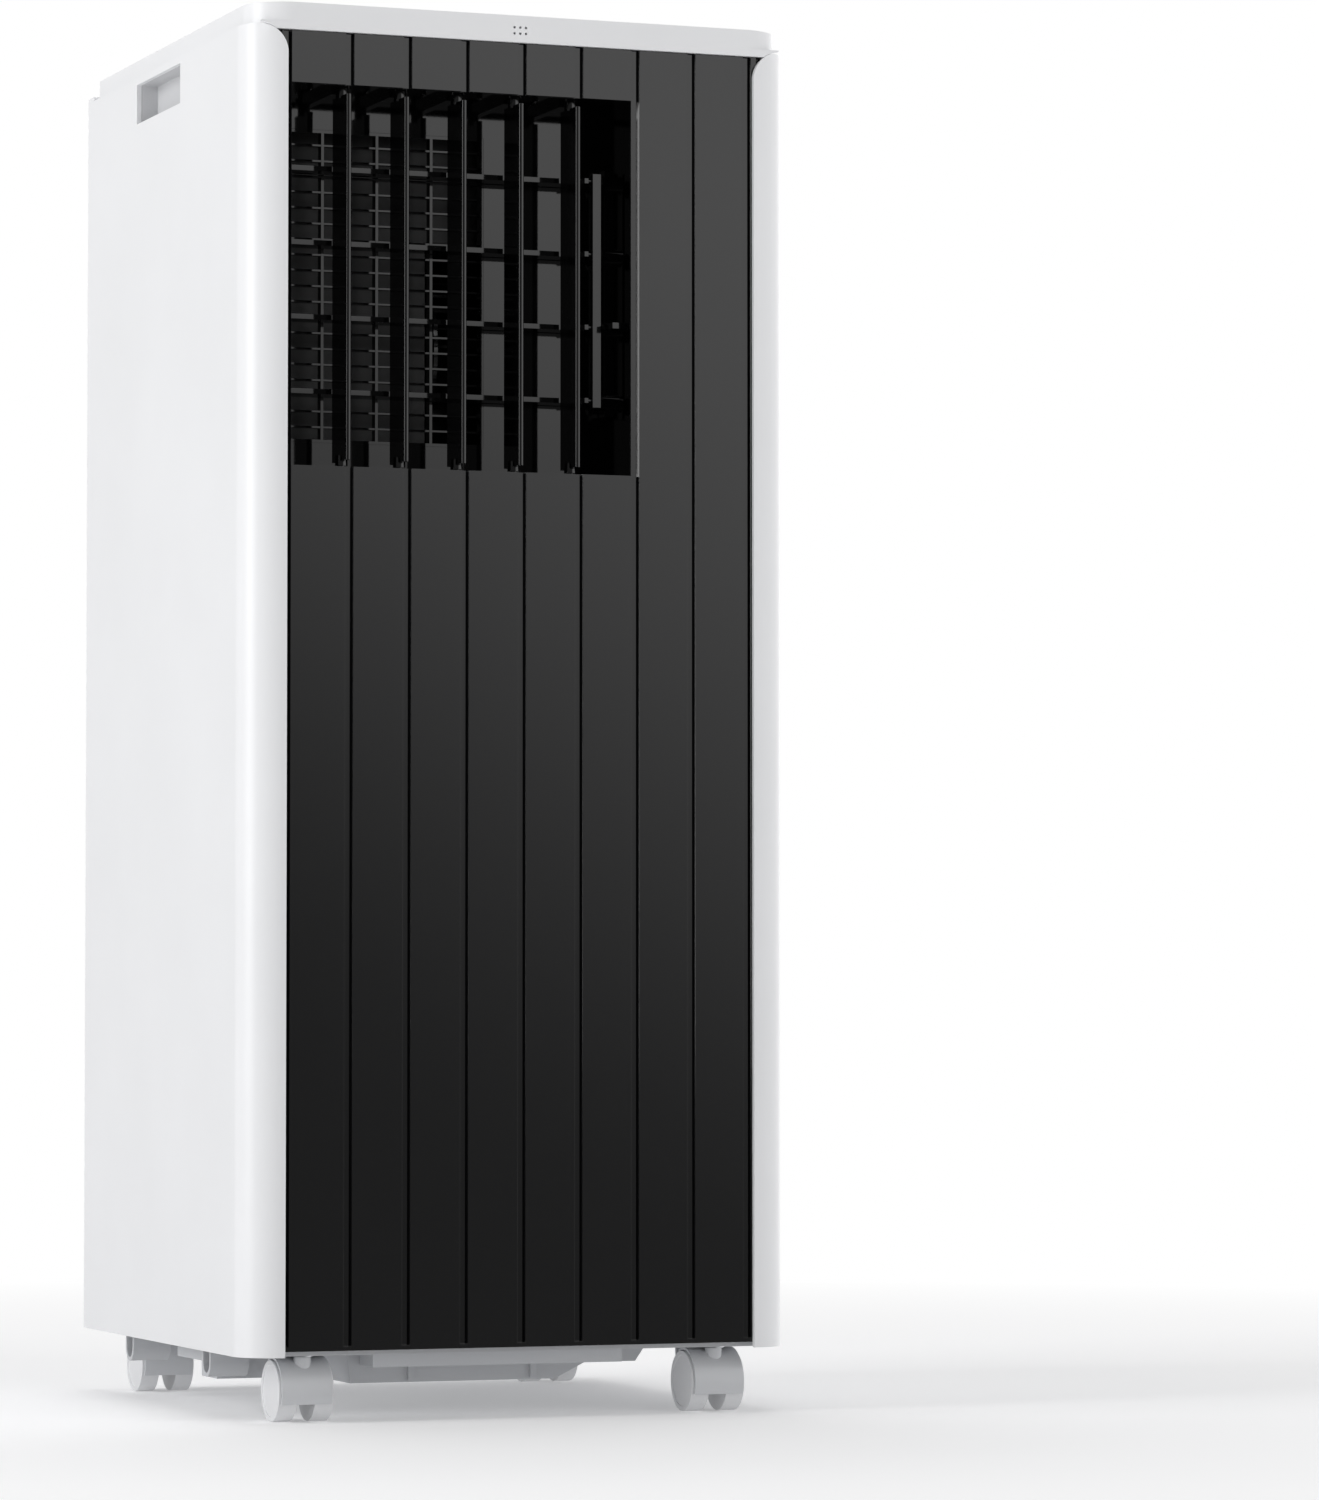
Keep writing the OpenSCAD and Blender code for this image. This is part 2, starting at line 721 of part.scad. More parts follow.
// Fin pack on rows of tubes, between two end plates, with return bends.
module coil(x0, x1, y0, y1, z0, z1, pitch) {
    rows = floor((z1 - z0) / 24);
    ym = (y0 + y1) / 2;
    for (x = [x0:pitch:x1 - 1]) span([x, y0, z0], [x + 0.8, y1, z1]);
    for (x = [x0 - 1, x1]) span([x, y0 - 1, z0 - 1], [x + 1.2, y1 + 1, z1 + 1]);
    for (i = [0:rows - 1]) {
        rod_x([x0 - 4, ym, z0 + 12 + i * 24], 4, x1 - x0 + 8);
    }
    for (i = [0:rows - 2])
        translate([i % 2 == 0 ? x0 - 3 : x1 + 3, ym, z0 + 24 + i * 24])
            rotate([90, 0, i % 2 == 0 ? 90 : -90])
                rotate([0, 0, 90]) rotate_extrude(angle = 180, $fn = 32)
                    translate([12, 0]) circle(r = 3.7, $fn = 24);
}

module evaporator() {
    color(fin_metal) from_front() coil(-112, 112, 166, 198, 430, 646, 6.4);
}

module condenser() {
    color(fin_metal) from_front() coil(-108, 108, 206, 240, 48, 240, 6.4);
}

// Shallow tray that catches the evaporator's water.
module drip_tray() {
    color(light_grey) from_front() difference() {
        span([-124, 150, 406], [124, 215, 424]);
        span([-121.5, 152.5, 408.5], [121.5, 212.5, 425]);
        rod_z([90, 182, 400], 5, 12);
    }
}

comp_x = -52;
comp_y = 112;
comp_z = 54;

// Rotary compressor with its suction accumulator and three feet.
module compressor() {
    color(black) from_front() union() {
        translate([comp_x, comp_y, comp_z]) rotate_extrude()
            polygon([[0, 0], [40, 0], [50, 10], [50, 128], [44, 142], [28, 150], [0, 152]]);
        translate([comp_x + 76, comp_y, comp_z + 20]) rotate_extrude()
            polygon([[0, 0], [10, 2], [21, 12], [21, 98], [10, 108], [0, 110]]);
        span([comp_x + 45, comp_y - 6, comp_z + 40], [comp_x + 60, comp_y + 6, comp_z + 46]);
        span([comp_x + 45, comp_y - 6, comp_z + 100], [comp_x + 60, comp_y + 6, comp_z + 106]);
        rod_z([comp_x - 14, comp_y, comp_z + 148], 10, 12);
        for (a = [90, 210, 330])
            translate([comp_x, comp_y, comp_z]) rotate([0, 0, a]) difference() {
                span([30, -10, 0], [66, 10, 3]);
                rod_z([57, 0, -1], 5.2, 5);
            }
    }
}

// Rubber feet round the studs that the compressor stands on.
module compressor_grommets() {
    color(rubber) from_front() for (a = [90, 210, 330])
        translate([comp_x, comp_y, tray_z + tray_t]) rotate([0, 0, a]) difference() {
            union() {
                rod_z([57, 0, 0.1], 9, comp_z - tray_z - tray_t - 0.2);
                rod_z([57, 0, 5], 5, comp_z - tray_z - tray_t + 1);
            }
            rod_z([57, 0, -1], 3.2, 40);
        }
}

// Pipe in straight runs along the axes, with a brazed coupling at each corner.
module pipe(points, r) {
    last = len(points) - 2;
    for (i = [0:last]) {
        a = points[i];
        step = points[i + 1] - a;
        way = step / norm(step);
        start = a + (i == 0 ? 0 : r * 1.05) * way;
        len = norm(step) - (i == 0 ? 0 : r * 1.05) - (i == last ? 0 : r * 1.05);
        low = min(way) < 0 ? start + len * way : start;
        if (way[0] != 0) rod_x(low, r, len);
        if (way[1] != 0) rod_y(low, r, len);
        if (way[2] != 0) rod_z(low, r, len);
    }
    for (i = [1:last]) rod_z(points[i] - [0, 0, r * 1.6], r * 1.5, r * 3.2);
}

// Copper pipework, and the coiled capillary tube as stacked rings.
module refrigerant_pipes() {
    color(copper) from_front() {
        pipe([[comp_x + 76, comp_y, comp_z + 131], [comp_x + 76, comp_y, 380],
              [130, comp_y, 380], [130, 182, 380], [130, 182, 442], [116.5, 182, 442]], 4);
        pipe([[comp_x - 14, comp_y, comp_z + 161], [comp_x - 14, comp_y, 246],
              [-116.5, comp_y, 246], [-116.5, 223, 246], [-116.5, 223, 232]], 3.2);
        for (i = [0:4]) translate([100, 150, 250 + i * 3.6])
            rotate_extrude($fn = 32) translate([20, 0]) circle(r = 1.6, $fn = 16);
        pipe([[126, 150, 250], [126, 150, 300], [126, 190, 300], [126, 190, 400]], 1.6);
    }
}

// ---------------------------------------------------------------- electrics

module electrical_box() {
    color(mid_grey) from_front() union() {
        difference() {
            span([62, 26, 200], [132, 100, 380]);
            span([64, 28, 202], [130, 98, 376]);
        }
        span([66, 40, 215], [68, 92, 365]);
        rod_z([88, 62, 202.1], 17, 70);
        span([67, 46, 300], [92, 84, 340]);
    }
}

// ---------------------------------------------------------------- base

swivel_y = [front_axle_y - caster_trail, rear_axle_y - caster_trail];

module u_lug(y) {
    c = skirt_z - 6.5;
    difference() {
        union() {
            rod_x([-136, y, c], 7.3, 20);
            span([-136, y - 7.3, c], [-116, y + 7.3, tray_z + 1]);
        }
        rod_x([-140, y, c], 5.3, 30);
        span([-140, y - 5.3, c], [-110, y + 5.3, tray_z]);
    }
}

module base_tray() {
    sump = [[-79, tray_z + 1], [-77, 17], [30, 17], [46, 24.8], [73, 24.8], [79, tray_z + 1]];
    hollow = [[-76, tray_z + 9], [-74.4, 19.5], [29.4, 19.5], [45.4, 27.3], [71.4, 27.3],
              [76, tray_z + 9]];
    color(light_grey) from_front() difference() {
        union() {
            span([-inner_x + 0.3, 22, tray_z], [inner_x - 0.3, side_len - 0.3, tray_z + tray_t]);
            span([-135.5, 9.6, tray_z], [135.5, 22.1, tray_z + tray_t]);
            push_y(38, 212, sump);
            span([-128, 95, 17], [-78, 122, tray_z + 1]);
            span([-128, 121, 24.5], [-78, 165, tray_z + 1]);
            span([-72, 17, 26], [58, 39, tray_z + 1]);
            for (x = [-46, 18]) span([x - 1.5, 35.5, 18], [x + 1.5, 39, 27]);
            for (s = [0, 1], y = [87, 226]) mirror([s, 0, 0]) u_lug(y);
            for (x = [-caster_x, caster_x], y = swivel_y) rod_z([x, y, tray_z], 7, 18);
            span([drain_x - 6, side_len - 24, tray_z], [drain_x + 6, side_len - 4, drain_z]);
            rod_y([drain_x, body_d - 40, drain_z], 9, 34);
        }
        push_y(40.5, 209.5, hollow);
        span([-125.5, 97.5, 19.5], [-70, 119.5, tray_z + 9]);
        span([-125.5, 118, 27], [-70, 162.5, tray_z + 9]);
        span([-69, 19.5, 28.5], [55, 42, tray_z + 9]);
        for (x = [-caster_x, caster_x], y = swivel_y)
            rod_z([x, y, tray_z - 1], stem_r + 0.05, 30);
        rod_y([drain_x, body_d - 42, drain_z], 6, 40);
    }
    color(light_grey) from_front() {
        for (x = [-31, -9]) difference() {
            span([x - 1.5, 55, 18], [x + 1.5, 65, 33]);
            rod_x([x - 3, 60, 29], 1.5 + fit, 6);
        }
        for (a = [90, 210, 330]) translate([comp_x, comp_y, 0]) rotate([0, 0, a]) {
            rod_z([57, 0, tray_z + 2], 3, 24);
            if (a != 210) rod_z([57, 0, 18], 9, tray_z + tray_t - 18);
        }
    }
}

// Float that lifts and stops the unit when the sump is full.
module float() {
    color(white) from_front() union() {
        rod_x([-33, 60, 29], 1.5, 26);
        span([-24, 60, 27.5], [-16, 86, 30.5]);
        rod_x([-24, 60, 29], 2.8, 8);
        span([-32, 80, 20.6], [-13, 106, 30.5]);
    }
}

// ---------------------------------------------------------------- casters

module caster_stems() {
    color(steel) from_front() for (x = [-caster_x, caster_x], y = swivel_y) union() {
        rod_z([x, y, wheel_r + 5.4], stem_r, tray_z + 16 - wheel_r - 5.4);
        rod_z([x, y, tray_z - 0.6], 5.5, 0.6);
    }
}

module at_caster(x, y) {
    translate([x, y - body_d / 2, wheel_r]) children();
}

// Hood over the front and top of a caster's wheels, with the swivel socket and
// the web that holds the axle.
module caster_hood(x, y) {
    color(light_grey) at_caster(x, y) difference() {
        union() {
            difference() {
                rod_x([-hood_w, 0, 0], hood_r, 2 * hood_w);
                rod_x([-hood_w - 1, 0, 0], wheel_r + 0.45, 2 * hood_w + 2);
                span([-hood_w - 2, -hood_r - 1, -hood_r - 1], [hood_w + 2, hood_r + 1, -6]);
                span([-hood_w - 2, 7, -hood_r - 1], [hood_w + 2, hood_r + 1, hood_r + 1]);
            }
            intersection() {
                rod_x([-2.6, 0, 0], hood_r - 0.4, 5.2);
                span([-4, -hood_r - 1, -5.5], [4, 4.5, hood_r + 1]);
            }
            rod_x([-4.2, 0, 0], 5, 8.4);
            rod_z([0, -caster_trail, 2], 4.2, tray_z - 0.9 - wheel_r - 2);
        }
        rod_z([0, -caster_trail, 5], stem_r + fit, 20);
        rod_x([-6, 0, 0], axle_r + fit, 12);
    }
}

// Two wheels on one axle.
module caster_wheels(x, y) {
    color(white) at_caster(x, y) union() {
        rod_x([-wheel_in - 1, 0, 0], axle_r, 2 * wheel_in + 2);
        for (s = [0, 1]) mirror([s, 0, 0]) difference() {
            rod_x([wheel_in, 0, 0], wheel_r, wheel_out - wheel_in);
            rod_x([wheel_out - 0.5, 0, 0], wheel_r - 2.4, 2);
        }
    }
}

module caster_hood_fl() { caster_hood(-caster_x, front_axle_y); }

module caster_hood_fr() { caster_hood(caster_x, front_axle_y); }

module caster_hood_rl() { caster_hood(-caster_x, rear_axle_y); }

module caster_hood_rr() { caster_hood(caster_x, rear_axle_y); }

module caster_wheels_fl() { caster_wheels(-caster_x, front_axle_y); }

module caster_wheels_fr() { caster_wheels(caster_x, front_axle_y); }

module caster_wheels_rl() { caster_wheels(-caster_x, rear_axle_y); }

module caster_wheels_rr() { caster_wheels(caster_x, rear_axle_y); }

base_tray();
left_side_panel();
right_side_panel();
rear_cover();
top_cover();
control_panel();
display_window();
button_power();
button_mode();
button_up();
button_down();
button_fan();
button_timer();
front_panel();
louver_housing();
outlet_grille();
vane_1();
vane_2();
vane_3();
vane_4();
vane_5();
vane_link();
blade_1();
blade_2();
blade_3();
blade_4();
blade_link();
blade_bracket();
blower_wheel();
blower_housing();
blower_motor();
evaporator();
condenser();
drip_tray();
condenser_fan_wheel();
condenser_fan_housing();
condenser_fan_motor();
compressor();
compressor_grommets();
refrigerant_pipes();
intake_grille();
air_filter();
exhaust_collar();
cord_gland();
drain_plug();
electrical_box();
control_board();
float();
handle_cups();
screws();
caster_stems();
caster_hood_fl();
caster_hood_fr();
caster_hood_rl();
caster_hood_rr();
caster_wheels_fl();
caster_wheels_fr();
caster_wheels_rl();
caster_wheels_rr();
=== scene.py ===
import json
import math

import bmesh
import bpy
from mathutils import Matrix, Vector


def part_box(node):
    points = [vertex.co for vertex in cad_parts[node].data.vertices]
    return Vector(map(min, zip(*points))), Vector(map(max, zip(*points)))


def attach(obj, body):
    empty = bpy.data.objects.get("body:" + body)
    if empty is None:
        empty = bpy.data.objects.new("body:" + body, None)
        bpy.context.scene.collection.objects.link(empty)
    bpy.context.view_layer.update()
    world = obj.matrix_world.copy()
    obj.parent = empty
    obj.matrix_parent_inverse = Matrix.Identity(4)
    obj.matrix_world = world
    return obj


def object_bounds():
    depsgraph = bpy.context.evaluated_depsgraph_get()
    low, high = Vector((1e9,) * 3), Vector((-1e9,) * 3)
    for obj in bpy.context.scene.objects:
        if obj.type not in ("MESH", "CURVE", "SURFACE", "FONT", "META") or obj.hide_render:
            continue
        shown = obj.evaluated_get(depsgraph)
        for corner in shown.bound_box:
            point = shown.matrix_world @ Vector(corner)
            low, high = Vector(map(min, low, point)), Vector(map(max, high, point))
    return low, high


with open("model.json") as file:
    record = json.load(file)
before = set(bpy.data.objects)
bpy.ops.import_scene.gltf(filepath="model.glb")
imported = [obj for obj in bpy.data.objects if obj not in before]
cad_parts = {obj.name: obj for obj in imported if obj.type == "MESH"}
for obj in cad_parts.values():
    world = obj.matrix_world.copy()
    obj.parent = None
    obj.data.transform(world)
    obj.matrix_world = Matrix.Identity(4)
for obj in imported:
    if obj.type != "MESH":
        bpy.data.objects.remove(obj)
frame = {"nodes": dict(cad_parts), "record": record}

MM = 0.001
CAD_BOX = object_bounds()
FRONT_Y = CAD_BOX[0][1]             # plane of the side panels' front edges

CAMERA_PLACE = Vector((-981.3, -2760.1, 208.4)) * MM    # from the middle of the front's foot
CAMERA_PAN, CAMERA_PITCH = 0.3644, 0.041                # radians, to the right and up
CAMERA_LENS = 142.77                                    # millimetres, on a 36 mm sensor

SKY = 0.33                          # strength of the even light
GLOSS_DARK, GLOSS_BRIGHT = 0.24, 1.75   # the light seen in gloss, low left and upper right
GLOSS_LOW, GLOSS_HIGH = 0.17, 0.37      # slopes between which it rises from one to the other
KEY, FILL, TOP = 54, 15, 30         # watts of the soft lamps
FLOOR_GLOW = 0.2                    # light of the floor's own under the unit
FLOOR_NEAR, FLOOR_FAR = 0.42, 1.3   # where the floor starts to fade, and where it is white


# ---------------------------------------------------------------- camera and stage

def make_camera():
    """The photograph's camera: a long lens, low, to the left of the front."""
    pan, pitch = CAMERA_PAN, CAMERA_PITCH
    aim = Vector((math.sin(pan) * math.cos(pitch), math.cos(pan) * math.cos(pitch), math.sin(pitch)))
    camera = bpy.data.objects.new("camera", bpy.data.cameras.new("camera"))
    camera.data.sensor_width = 36
    camera.data.lens = CAMERA_LENS
    camera.data.clip_end = 60
    camera.location = CAMERA_PLACE + Vector((0, FRONT_Y, 0))
    camera.rotation_euler = aim.to_track_quat("-Z", "Y").to_euler()
    bpy.context.scene.collection.objects.link(camera)
    bpy.context.scene.camera = camera


def area_light(name, place, target, size, power, in_gloss=True):
    """A soft rectangular lamp that faces a target."""
    data = bpy.data.lights.new(name, "AREA")
    data.shape = "RECTANGLE"
    data.size, data.size_y = size
    data.energy = power
    light = bpy.data.objects.new(name, data)
    light.location = place
    light.rotation_euler = (Vector(target) - Vector(place)).to_track_quat("-Z", "Y").to_euler()
    light.visible_glossy = in_gloss
    bpy.context.scene.collection.objects.link(light)


def make_world():
    """White for the camera, an even soft light, and for gloss a bright upper right side."""
    world = bpy.data.worlds.new("studio")
    bpy.context.scene.world = world
    world.use_nodes = True
    tree = world.node_tree
    tree.nodes.clear()
    link = tree.links.new
    coords = tree.nodes.new("ShaderNodeTexCoord")
    slope = tree.nodes.new("ShaderNodeVectorMath")
    slope.operation = "DOT_PRODUCT"
    slope.inputs[1].default_value = (0.6, 0, 1)
    ramp = tree.nodes.new("ShaderNodeMapRange")
    ramp.interpolation_type = "SMOOTHSTEP"
    ramp.inputs["From Min"].default_value = GLOSS_LOW
    ramp.inputs["From Max"].default_value = GLOSS_HIGH
    ramp.inputs["To Min"].default_value = GLOSS_DARK
    ramp.inputs["To Max"].default_value = GLOSS_BRIGHT
    path = tree.nodes.new("ShaderNodeLightPath")

    def background(strength):
        node = tree.nodes.new("ShaderNodeBackground")
        node.inputs["Color"].default_value = (1, 1, 1, 1)
        node.inputs["Strength"].default_value = strength
        return node

    gloss, even, plain = background(1), background(SKY), background(1)
    first = tree.nodes.new("ShaderNodeMixShader")
    second = tree.nodes.new("ShaderNodeMixShader")
    out = tree.nodes.new("ShaderNodeOutputWorld")
    link(coords.outputs["Generated"], slope.inputs[0])
    link(slope.outputs["Value"], ramp.inputs["Value"])
    link(ramp.outputs["Result"], gloss.inputs["Strength"])
    link(path.outputs["Is Glossy Ray"], first.inputs["Fac"])
    link(even.outputs[0], first.inputs[1])
    link(gloss.outputs[0], first.inputs[2])
    link(path.outputs["Is Camera Ray"], second.inputs["Fac"])
    link(first.outputs[0], second.inputs[1])
    link(plain.outputs[0], second.inputs[2])
    link(second.outputs[0], out.inputs["Surface"])


def floor_finish():
    """Pale matt floor that fades into plain white away from the unit."""
    material = bpy.data.materials.new("floor")
    material.use_nodes = True
    tree = material.node_tree
    link = tree.links.new
    shader = tree.nodes["Principled BSDF"]
    shader.inputs["Base Color"].default_value = (0.92, 0.92, 0.93, 1)
    shader.inputs["Roughness"].default_value = 0.9
    shader.inputs["Specular IOR Level"].default_value = 0.0
    shader.inputs["Emission Color"].default_value = (1, 1, 1, 1)
    shader.inputs["Emission Strength"].default_value = FLOOR_GLOW
    far = tree.nodes.new("ShaderNodeEmission")
    coords = tree.nodes.new("ShaderNodeTexCoord")
    reach = tree.nodes.new("ShaderNodeVectorMath")
    reach.operation = "LENGTH"
    fade = tree.nodes.new("ShaderNodeMapRange")
    fade.inputs["From Min"].default_value = FLOOR_NEAR
    fade.inputs["From Max"].default_value = FLOOR_FAR
    mix = tree.nodes.new("ShaderNodeMixShader")
    link(coords.outputs["Object"], reach.inputs[0])
    link(reach.outputs["Value"], fade.inputs["Value"])
    link(fade.outputs["Result"], mix.inputs["Fac"])
    link(shader.outputs[0], mix.inputs[1])
    link(far.outputs[0], mix.inputs[2])
    link(mix.outputs[0], tree.nodes["Material Output"].inputs["Surface"])
    return material


def make_floor():
    """A floor wide enough to fill the picture from any side."""
    mesh = bpy.data.meshes.new("floor")
    half = 14
    mesh.from_pydata([(-half, -half, 0), (half, -half, 0), (half, half, 0), (-half, half, 0)], [],
                     [(0, 1, 2, 3)])
    mesh.materials.append(floor_finish())
    floor = bpy.data.objects.new("floor", mesh)
    bpy.context.scene.collection.objects.link(floor)
    floor.visible_glossy = False


def make_lamps():
    """Soft lamps from the left, from the right front and from above."""
    middle = (0, 0, 0.35)           # half way up the unit
    area_light("key", (-3.2, -0.2, 1.2), middle, (1.4, 2.2), KEY)
    area_light("fill", (1.9, -3.0, 1.7), middle, (1.4, 1.6), FILL, False)
    area_light("top", (0.3, 0.4, 3.2), (0, 0, 0), (2.5, 2.5), TOP, False)
    bpy.context.scene.view_settings.view_transform = "Standard"


# ---------------------------------------------------------------- materials

def noise(tree, coords, scale, detail):
    """Noise over the piece's own coordinates."""
    node = tree.nodes.new("ShaderNodeTexNoise")
    node.inputs["Scale"].default_value = scale
    node.inputs["Detail"].default_value = detail
    tree.links.new(coords.outputs["Object"], node.inputs["Vector"])
    return node


def surface(name, color, rough, grain=0.0, grain_scale=900.0, shade=0.03, metal=0.0, coat=0.0):
    """Procedural finish: faint colour and roughness changes, and a fine moulded or cast grain."""
    material = bpy.data.materials.new(name)
    material.use_nodes = True
    tree = material.node_tree
    shader = tree.nodes["Principled BSDF"]
    link = tree.links.new
    coords = tree.nodes.new("ShaderNodeTexCoord")
    broad = noise(tree, coords, 9.0, 3.0)
    tint = tree.nodes.new("ShaderNodeValToRGB")
    tint.color_ramp.elements[0].position = 0.3
    tint.color_ramp.elements[1].position = 0.7
    tint.color_ramp.elements[0].color = (*[c * (1 - shade) for c in color], 1)
    tint.color_ramp.elements[1].color = (*color, 1)
    link(broad.outputs["Fac"], tint.inputs["Fac"])
    link(tint.outputs["Color"], shader.inputs["Base Color"])
    fine = noise(tree, coords, 60.0, 5.0)
    gloss = tree.nodes.new("ShaderNodeMapRange")
    gloss.inputs["To Min"].default_value = max(0.02, rough * 0.9)
    gloss.inputs["To Max"].default_value = rough * 1.1
    link(fine.outputs["Fac"], gloss.inputs["Value"])
    link(gloss.outputs["Result"], shader.inputs["Roughness"])
    if grain:
        pits = noise(tree, coords, grain_scale, 2.0)
        bump = tree.nodes.new("ShaderNodeBump")
        bump.inputs["Strength"].default_value = grain
        bump.inputs["Distance"].default_value = 0.0002
        link(pits.outputs["Fac"], bump.inputs["Height"])
        link(bump.outputs["Normal"], shader.inputs["Normal"])
    shader.inputs["Metallic"].default_value = metal
    shader.inputs["Coat Weight"].default_value = coat
    return material


def make_materials():
    """One finish for each slot of the record, and one for the display's lit digits."""
    return {
        "white_shell": surface("white_shell", (0.87, 0.875, 0.89), 0.34, 0.12, 1600),
        "tray_plastic": surface("tray_plastic", (0.55, 0.56, 0.58), 0.5, 0.25, 1200),
        "gloss_black": surface("gloss_black", (0.002, 0.002, 0.0022), 0.06, 0.01, 900),
        "display": surface("display", (0.012, 0.014, 0.016), 0.06, coat=0.6),
        "panel_black": surface("panel_black", (0.0035, 0.0035, 0.0038), 0.10, 0.02, 1500, 0.06),
        "housing_black": surface("housing_black", (0.002, 0.002, 0.0022), 0.06, 0.01, 1200),
        "link_plastic": surface("link_plastic", (0.006, 0.006, 0.0065), 0.08, 0.01, 1200),
        "fan_plastic": surface("fan_plastic", (0.004, 0.004, 0.0042), 0.12, 0.02, 1200),
        "inner_plastic": surface("inner_plastic", (0.012, 0.012, 0.0125), 0.45, 0.2, 1200),
        "steel": surface("steel", (0.6, 0.61, 0.63), 0.3, 0.1, 500, 0.08, metal=1.0),
        "fins": surface("fins", (0.72, 0.73, 0.75), 0.3, 0.1, 400, 0.08, metal=1.0),
        "painted_steel": surface("painted_steel", (0.02, 0.02, 0.02), 0.3, 0.15, 500),
        "rubber": surface("rubber", (0.02, 0.02, 0.02), 0.75, 0.4, 900),
        "copper": surface("copper", (0.70, 0.36, 0.20), 0.28, 0.08, 300, 0.2, metal=1.0),
        "filter_plastic": surface("filter_plastic", (0.25, 0.26, 0.28), 0.55, 0.2, 1200),
        "collar_plastic": surface("collar_plastic", (0.78, 0.785, 0.80), 0.4, 0.15, 1400),
        "box_plastic": surface("box_plastic", (0.4, 0.41, 0.42), 0.5, 0.2, 1200),
        "board": surface("board", (0.02, 0.14, 0.05), 0.35, 0.1, 600, 0.2),
        "cup_plastic": surface("cup_plastic", (0.62, 0.625, 0.64), 0.45, 0.2, 1400),
        "digit_light": surface("digit_light", (0.55, 0.85, 0.8), 0.3),
        "button_white": surface("button_white", (0.84, 0.84, 0.85), 0.3, 0.1, 1400),
        "caster_plastic": surface("caster_plastic", (0.66, 0.67, 0.69), 0.38, 0.12, 1400),
        "wheel_plastic": surface("wheel_plastic", (0.80, 0.805, 0.82), 0.38, 0.12, 1400),
    }


# ---------------------------------------------------------------- CAD nodes

SHARP_ANGLE = 32                    # degrees between faces at an edge that gets rounded
FLAT_ANGLE = 0.6                    # degrees between triangles that are merged into one face
SLOTTED = ("rear_cover", "intake_grille")
CORNERS = ("fl", "fr", "rl", "rr")

# Radius of each softened node's edges, in millimetres.
EDGES = {
    "left_side_panel": 1.0, "right_side_panel": 1.0, "rear_cover": 0.8, "top_cover": 1.0,
    "front_panel": 0.3, "blade_link": 0.3, "blade_bracket": 0.4, "handle_cups": 0.6,
    "intake_grille": 0.4, "exhaust_collar": 0.6, "control_panel": 0.3, "display_window": 0.2,
    "base_tray": 0.5, "drain_plug": 0.5, "cord_gland": 0.4,
    **{f"vane_{i}": 0.25 for i in range(1, 6)},
    **{f"blade_{i}": 0.3 for i in range(1, 5)},
    **{f"caster_hood_{corner}": 0.4 for corner in CORNERS},
    **{f"caster_wheels_{corner}": 0.8 for corner in CORNERS},
}


def soften(node, width):
    """Rounds a CAD node's hard edges with modifiers; the mesh itself stays as it is.

    A slotted sheet keeps its triangles, because faces with many holes can't be merged.
    """
    o = frame["nodes"][node]
    for face in o.data.polygons:
        face.use_smooth = True
    weld = o.modifiers.new("weld", "WELD")
    weld.merge_threshold = 0.01 * MM
    if node not in SLOTTED:
        flat = o.modifiers.new("flat", "DECIMATE")
        flat.decimate_type = "DISSOLVE"
        flat.angle_limit = math.radians(FLAT_ANGLE)
    bevel = o.modifiers.new("bevel", "BEVEL")
    bevel.width = width * MM
    bevel.segments = 3
    bevel.limit_method = "ANGLE"
    bevel.angle_limit = math.radians(SHARP_ANGLE)
    bevel.miter_outer = "MITER_ARC"
    bevel.use_clamp_overlap = True
    normal = o.modifiers.new("normal", "WEIGHTED_NORMAL")
    normal.keep_sharp = True


def finish_cad(materials):
    """Gives each CAD node its slot's finish, and its rounded edges."""
    slots = {s["node"]: s["material_slot"] for s in frame["record"]["subparts"]}
    for name, o in frame["nodes"].items():
        o.data.materials.clear()
        o.data.materials.append(materials[slots[name]])
        if name in EDGES:
            soften(name, EDGES[name])


# ---------------------------------------------------------------- detail pieces

def piece(name, bm, body, slot, finish=None):
    """A new object from a bmesh, with its body and the finish named by slot, or by finish when that
    is given.
    """
    mesh = bpy.data.meshes.new(name)
    bmesh.ops.recalc_face_normals(bm, faces=bm.faces)
    bm.to_mesh(mesh)
    bm.free()
    o = bpy.data.objects.new(name, mesh)
    bpy.context.scene.collection.objects.link(o)
    mesh.materials.append(MATERIALS[finish or slot])
    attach(o, body)
    return o


def add_box(bm, lo, hi):
    """A box from its lowest to its highest corner."""
    size = Vector(hi) - Vector(lo)
    middle = (Vector(hi) + Vector(lo)) / 2
    bmesh.ops.create_cube(bm, size=1, matrix=Matrix.Translation(middle) @ Matrix.Diagonal((*size, 1)))


def add_prism(bm, outline, z0, z1):
    """Closed prism over an outline in X and Y."""
    low = [bm.verts.new((x, y, z0)) for x, y in outline]
    high = [bm.verts.new((x, y, z1)) for x, y in outline]
    bm.faces.new(list(reversed(low)))
    bm.faces.new(high)
    for i, start in enumerate(low):
        j = (i + 1) % len(low)
        bm.faces.new((start, low[j], high[j], high[i]))


def arc(centre, radius, start, end, steps):
    """Points on a circle, with the angles in degrees."""
    angles = [math.radians(start + (end - start) * i / steps) for i in range(steps + 1)]
    return [(centre[0] + radius * math.cos(a), centre[1] + radius * math.sin(a)) for a in angles]


def ring_stroke(bm, centre, radius, line, start, end, z0, z1):
    """Stretch of a ring, as a prism with its two ends."""
    steps = 28
    outer = arc(centre, radius, start, end, steps)
    inner = arc(centre, radius - line, end, start, steps)
    add_prism(bm, outer + inner, z0, z1)


